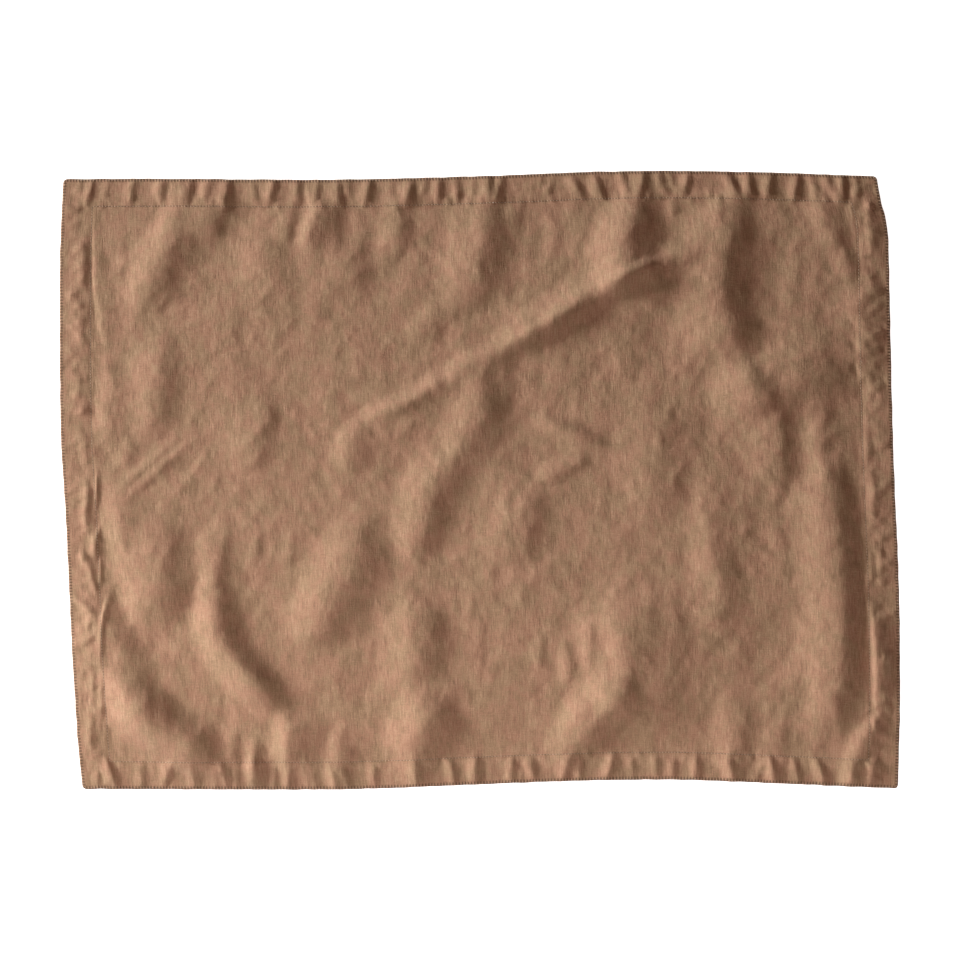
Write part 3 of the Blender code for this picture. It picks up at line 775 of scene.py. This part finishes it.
def stitch_ends(runs, pitch, share):
    """Return the start and end of every stitch of a seam, on the flat cloth."""
    starts, ends = [], []
    for index, (start, end) in enumerate(runs):
        start, end = np.array(start), np.array(end)
        length = np.linalg.norm(end - start)
        way = (end - start) / length
        aside = np.array([-way[1], way[0]])
        count = int(length / pitch)
        for stitch in range(count):
            place = (stitch + 0.5) * length / count
            stray, uneven = (
                size * smooth_noise(turn * place, noise_start, index)
                for size, turn, noise_start in (STITCH_STRAY, STITCH_UNEVEN)
            )
            half = way * pitch * (share + uneven) / 2
            centre = start + way * place + aside * stray
            starts.append(centre - half)
            ends.append(centre + half)
    return np.array(starts), np.array(ends)


def make_stitches(name, runs, sizes):
    """Make a seam's stitches: short arcs of thread that rise from the cloth and dip back into it."""
    pitch, share, radius, arc = sizes
    starts, ends = stitch_ends(runs, pitch, share)
    count = len(starts)
    parts = np.linspace(0, 1, STITCH_RINGS)
    flat = starts[:, None] + (ends - starts)[:, None] * parts[None, :, None]
    spine = cloth_points(flat[..., 0].ravel(), flat[..., 1].ravel()).reshape(count, STITCH_RINGS, 3)
    spine[..., 2] += arc * np.sin(math.pi * parts) - STITCH_DIP * (2 * parts - 1) ** 4

    way = spine[:, -1] - spine[:, 0]
    way /= np.linalg.norm(way, axis=1, keepdims=True)
    up = np.array([0.0, 0.0, 1.0])
    aside = np.cross(up, way)
    aside /= np.linalg.norm(aside, axis=1, keepdims=True)
    turn = 2 * math.pi * np.arange(STITCH_SIDES) / STITCH_SIDES
    thick = radius * (STITCH_END + (1 - STITCH_END) * np.sin(math.pi * parts))
    across = aside[:, None, None, :] * np.cos(turn)[None, None, :, None]
    upward = up * np.sin(turn)[None, None, :, None]
    rim = spine[:, :, None, :] + thick[None, :, None, None] * (across + upward)
    points = rim.reshape(-1, 3) * MM

    index = np.arange(len(points)).reshape(count, STITCH_RINGS, STITCH_SIDES)
    around = np.roll(index, -1, axis=2)
    corners = [index[:, :-1], around[:, :-1], around[:, 1:], index[:, 1:]]
    faces = np.stack([corner.ravel() for corner in corners], axis=-1)
    mesh = bpy.data.meshes.new(name)
    mesh.from_pydata(points.tolist(), [], faces.tolist())
    mesh.shade_smooth()
    return new_piece(name, mesh)


# --- Finish -------------------------------------------------------------------------------------------

class Nodes:
    """A material's node tree, with short calls to add nodes and link them."""

    def __init__(self, name):
        self.material = bpy.data.materials.new(name)
        self.material.use_nodes = True
        self.tree = self.material.node_tree
        self.shader = self.tree.nodes["Principled BSDF"]

    def add(self, kind, settings=None, **inputs):
        """Add a node with these settings, and set or link its inputs."""
        node = self.tree.nodes.new(kind)
        for name, value in (settings or {}).items():
            setattr(node, name, value)
        for name, value in inputs.items():
            self.put(node.inputs[name.replace("_", " ")], value)
        return node

    def put(self, socket, value):
        """Link an output to the socket, or set it to a number."""
        if isinstance(value, bpy.types.NodeSocket):
            self.tree.links.new(value, socket)
        else:
            socket.default_value = value

    def math(self, operation, a, b=0.0):
        """Return the result of one operation on one or two values."""
        node = self.tree.nodes.new("ShaderNodeMath")
        node.operation = operation
        self.put(node.inputs[0], a)
        self.put(node.inputs[1], b)
        return node.outputs[0]

    def total(self, *parts):
        """Return the sum of values, each times its weight."""
        whole = 0.0
        for value, weight in parts:
            whole = self.math("ADD", whole, self.math("MULTIPLY", value, weight))
        return whole

    def blend(self, share, a, b):
        """Return the colour that lies this share of the way from a to b."""
        node = self.tree.nodes.new("ShaderNodeMix")
        node.data_type = "RGBA"
        self.put(node.inputs["Factor"], share)
        self.put(node.inputs["A"], (*a, 1.0) if isinstance(a, tuple) else a)
        self.put(node.inputs["B"], (*b, 1.0) if isinstance(b, tuple) else b)
        return node.outputs["Result"]

    def spread(self, value, low, high, to_low=0.0, to_high=1.0):
        """Return a value spread from one range onto another, and kept inside it."""
        node = self.tree.nodes.new("ShaderNodeMapRange")
        self.put(node.inputs["Value"], value)
        ends = {"From Min": low, "From Max": high, "To Min": to_low, "To Max": to_high}
        for name, number in ends.items():
            node.inputs[name].default_value = number
        return node.outputs["Result"]

    def stretched(self, place, x_length, y_length):
        """Return places in units of these two lengths, millimetres."""
        node = self.tree.nodes.new("ShaderNodeMapping")
        self.put(node.inputs["Vector"], place)
        node.inputs["Scale"].default_value = (1 / (x_length * MM), 1 / (y_length * MM), 1.0)
        return node.outputs["Vector"]

    def noise(self, place, x_length, y_length, detail=2.0, roughness=0.5, distortion=0.0):
        """Return smooth noise with waves of these two lengths, millimetres."""
        node = self.tree.nodes.new("ShaderNodeTexNoise")
        self.put(node.inputs["Vector"], self.stretched(place, x_length, y_length))
        node.inputs["Scale"].default_value = 1.0
        node.inputs["Detail"].default_value = detail
        node.inputs["Roughness"].default_value = roughness
        node.inputs["Distortion"].default_value = distortion
        return node.outputs["Fac"]


def make_linen():
    """Make the washed linen: cloudy dye, uneven threads, slubs and flecks, and painted shade at the seams.
    """
    n = Nodes("linen_cloth")
    place = n.add("ShaderNodeUVMap", {"uv_map": "weave"}).outputs["UV"]
    layers = {name: n.noise(place, *shape) for name, *shape, _, _ in THREADS}

    tone = n.blend(n.spread(n.noise(place, *DYE), *DYE_RANGE), LINEN_OLIVE, LINEN_WARM)
    light = n.total(*((layers[name], weight) for name, *_, weight, _ in THREADS if weight))
    for color, end in ((LINEN_DEEP, TONE_MIDDLE - TONE_REACH), (LINEN_PALE, TONE_MIDDLE + TONE_REACH)):
        tone = n.blend(n.spread(light, TONE_MIDDLE, end, 0.0, TONE_STRENGTH), tone, color)
    # Painted shade: the needle holes and the gaps between the edge's stitches are darkened in the colour.
    tone = n.blend(painted_seam_shade(n, place), tone, PAINTED_SEAM_SHADE)
    n.put(n.shader.inputs["Base Color"], tone)
    n.put(n.shader.inputs["Roughness"], n.spread(layers["flecks"], *NOISE_RANGE, *LINEN_ROUGHNESS))
    n.shader.inputs["Specular IOR Level"].default_value = LINEN_SPECULAR
    n.shader.inputs["Sheen Weight"].default_value = LINEN_SHEEN
    n.shader.inputs["Sheen Roughness"].default_value = LINEN_SHEEN_ROUGHNESS
    n.shader.inputs["Sheen Tint"].default_value = LINEN_SHEEN_TINT

    parts = n.add("ShaderNodeSeparateXYZ", Vector=place).outputs
    drift = n.math("MULTIPLY", n.noise(place, *WEAVE_DRIFT_LENGTHS), WEAVE_DRIFT * THREAD_PITCH * MM)
    turn = math.pi / (THREAD_PITCH * MM)
    over, under = (
        n.math("SINE", n.math("MULTIPLY", n.math("ADD", parts[axis], drift), turn)) for axis in "XY"
    )
    weave = n.math("MULTIPLY", over, under)
    threads = ((layers[name], weight) for name, *_, weight in THREADS if weight)
    relief = n.total((weave, WEAVE_RELIEF), *threads)
    bump = n.add("ShaderNodeBump", Strength=1.0, Distance=MM, Height=relief)
    n.put(n.shader.inputs["Normal"], bump.outputs["Normal"])
    return n.material


def painted_seam_shade(n, place):
    """Return the painted shade in the needle holes along the seam, and in ticks on the edge."""
    parts = n.add("ShaderNodeSeparateXYZ", Vector=place).outputs
    painted_shade = 0.0
    runs = (
        (parts["X"], parts["Y"], WIDTH, DEPTH, SHORT_HEM_DEPTH, LONG_HEM_DEPTH),
        (parts["Y"], parts["X"], DEPTH, WIDTH, LONG_HEM_DEPTH, SHORT_HEM_DEPTH),
    )
    for way, across, length, breadth, end_depth, depth in runs:
        start = end_depth - SEAM_FROM_HEM
        seam = length - 2 * start
        pitch = seam / int(seam / HEM_STITCH[0])
        from_edge = n.math("MINIMUM", across, n.math("SUBTRACT", breadth * MM, across))
        from_end = n.math("MINIMUM", way, n.math("SUBTRACT", length * MM, way))

        # Painted shade in each needle hole along the seam.
        off_line = n.math("SUBTRACT", from_edge, (depth - SEAM_FROM_HEM) * MM)
        stitches = n.math("MULTIPLY", n.math("SUBTRACT", way, start * MM), 1 / (pitch * MM))
        phase = n.math("FRACT", stitches)
        off_hole = n.math("MINIMUM", phase, n.math("SUBTRACT", 1.0, phase))
        off_hole = n.math("MULTIPLY", off_hole, pitch * MM)
        off = n.math("ADD", n.math("MULTIPLY", off_line, off_line), n.math("MULTIPLY", off_hole, off_hole))
        hole = n.spread(n.math("SQRT", off), *(radius * MM for radius in HOLE_RADII), 0.0, PAINTED_HOLE_SHADE)
        within = n.spread(from_end, start * MM, (start + HOLE_FROM_END) * MM)
        hole = n.math("MULTIPLY", hole, within)

        # Painted shade in ticks between the edge's stitches, in a band along the edge.
        rim = length - 2 * EDGE_SEAM_INSET
        turn = 2 * math.pi * int(rim / EDGE_STITCH[0]) / (rim * MM)
        tick = n.math("COSINE", n.math("MULTIPLY", n.math("SUBTRACT", way, EDGE_SEAM_INSET * MM), turn))
        edge = n.spread(from_edge, TICK_WIDTH * MM, TICK_FULL_WIDTH * TICK_WIDTH * MM)
        edge = n.math("MULTIPLY", edge, n.spread(tick, *TICK_RANGE, *PAINTED_TICK_SHADE))
        painted_shade = n.math("MAXIMUM", painted_shade, n.math("MAXIMUM", hole, edge))
    return painted_shade


def make_thread(name):
    """Make the finish of a seam's thread: a twisted, slightly uneven yarn."""
    n = Nodes(name)
    place = n.add("ShaderNodeTexCoord").outputs["Object"]
    uneven = n.noise(place, THREAD_PATCH, THREAD_PATCH)
    dark = tuple(THREAD_DARK * part for part in THREAD_COLOR)
    n.put(n.shader.inputs["Base Color"], n.blend(n.spread(uneven, *THREAD_RANGE), dark, THREAD_COLOR))
    n.put(n.shader.inputs["Roughness"], n.spread(uneven, *NOISE_RANGE, *THREAD_ROUGHNESS))
    n.shader.inputs["Sheen Weight"].default_value = THREAD_SHEEN
    twist = n.add("ShaderNodeTexWave", {"bands_direction": "DIAGONAL"}, Vector=place, Scale=THREAD_TWIST)
    relief = THREAD_TWIST_RELIEF * MM
    bump = n.add(
        "ShaderNodeBump", Strength=THREAD_TWIST_STRENGTH, Distance=relief, Height=twist.outputs["Fac"]
    )
    n.put(n.shader.inputs["Normal"], bump.outputs["Normal"])
    return n.material


# --- Floor, light and camera --------------------------------------------------------------------------

def make_stage():
    """Lay the pale floor."""
    half = FLOOR_SIZE / 2
    corners = [(-half, -half, 0), (half, -half, 0), (half, half, 0), (-half, half, 0)]
    mesh = bpy.data.meshes.new("floor")
    mesh.from_pydata(corners, [], [(0, 1, 2, 3)])
    floor = new_piece("floor", mesh)
    n = Nodes("pale_floor")
    place = n.add("ShaderNodeTexCoord").outputs["Object"]
    n.put(n.shader.inputs["Base Color"], n.blend(n.noise(place, FLOOR_PATCH, FLOOR_PATCH), *FLOOR_COLORS))
    n.shader.inputs["Roughness"].default_value = FLOOR_ROUGHNESS
    n.shader.inputs["Emission Color"].default_value = (1.0, 1.0, 1.0, 1.0)
    n.shader.inputs["Emission Strength"].default_value = FLOOR_GLOW
    mesh.materials.append(n.material)


def add_light(name, azimuth, elevation, distance, length, breadth, power, color):
    """Add a soft light that faces the middle of the mat."""
    light = bpy.data.lights.new(name, "AREA")
    light.shape = "RECTANGLE"
    light.size, light.size_y = length, breadth
    light.energy = power
    light.color = color
    lamp = bpy.data.objects.new(name, light)
    azimuth, elevation = math.radians(azimuth), math.radians(elevation)
    level = math.cos(elevation)
    way = Vector((level * math.cos(azimuth), level * math.sin(azimuth), math.sin(elevation)))
    lamp.location = way * distance
    lamp.visible_camera = False
    lamp.rotation_euler = way.to_track_quat("Z", "Y").to_euler()
    bpy.context.scene.collection.objects.link(lamp)


def make_light():
    """Light the mat with its lights and a weak warm sky."""
    for row in LIGHTS:
        add_light(*row)
    world = bpy.data.worlds.new("studio")
    world.use_nodes = True
    sky = world.node_tree.nodes["Background"]
    sky.inputs["Color"].default_value = SKY_COLOR
    sky.inputs["Strength"].default_value = SKY_STRENGTH
    bpy.context.scene.world = world
    bpy.context.scene.view_settings.view_transform = "Standard"


def make_camera():
    """Look straight down on the mat."""
    lens = bpy.data.cameras.new("camera")
    lens.sensor_width = SENSOR
    lens.lens = SENSOR * CAMERA_HEIGHT / FRAME_SIZE
    camera = bpy.data.objects.new("camera", lens)
    camera.location = (0.0, 0.0, CAMERA_HEIGHT)
    bpy.context.scene.collection.objects.link(camera)
    bpy.context.scene.camera = camera


# --- The scene ----------------------------------------------------------------------------------------

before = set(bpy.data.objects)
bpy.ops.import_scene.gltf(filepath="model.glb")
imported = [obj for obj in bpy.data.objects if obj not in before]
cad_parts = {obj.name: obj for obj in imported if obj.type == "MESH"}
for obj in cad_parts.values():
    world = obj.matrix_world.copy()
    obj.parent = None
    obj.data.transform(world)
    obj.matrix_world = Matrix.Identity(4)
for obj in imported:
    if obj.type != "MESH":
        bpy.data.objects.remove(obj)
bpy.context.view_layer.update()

cloth = make_cloth()
cloth.data.materials.append(make_linen())
hem_runs = seam_rectangle(SHORT_HEM_DEPTH - SEAM_FROM_HEM, LONG_HEM_DEPTH - SEAM_FROM_HEM)
hem_seam = make_stitches("hem_stitches", hem_runs, HEM_STITCH)
hem_seam.data.materials.append(make_thread("hem_thread"))
edge_runs = seam_rectangle(EDGE_SEAM_INSET, EDGE_SEAM_INSET)
edge_seam = make_stitches("edge_stitches", edge_runs, EDGE_STITCH)
edge_seam.data.materials.append(make_thread("edge_thread"))

for piece in (cloth, hem_seam, edge_seam):
    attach(piece, "root")
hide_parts("placemat")

make_stage()
make_light()
make_camera()
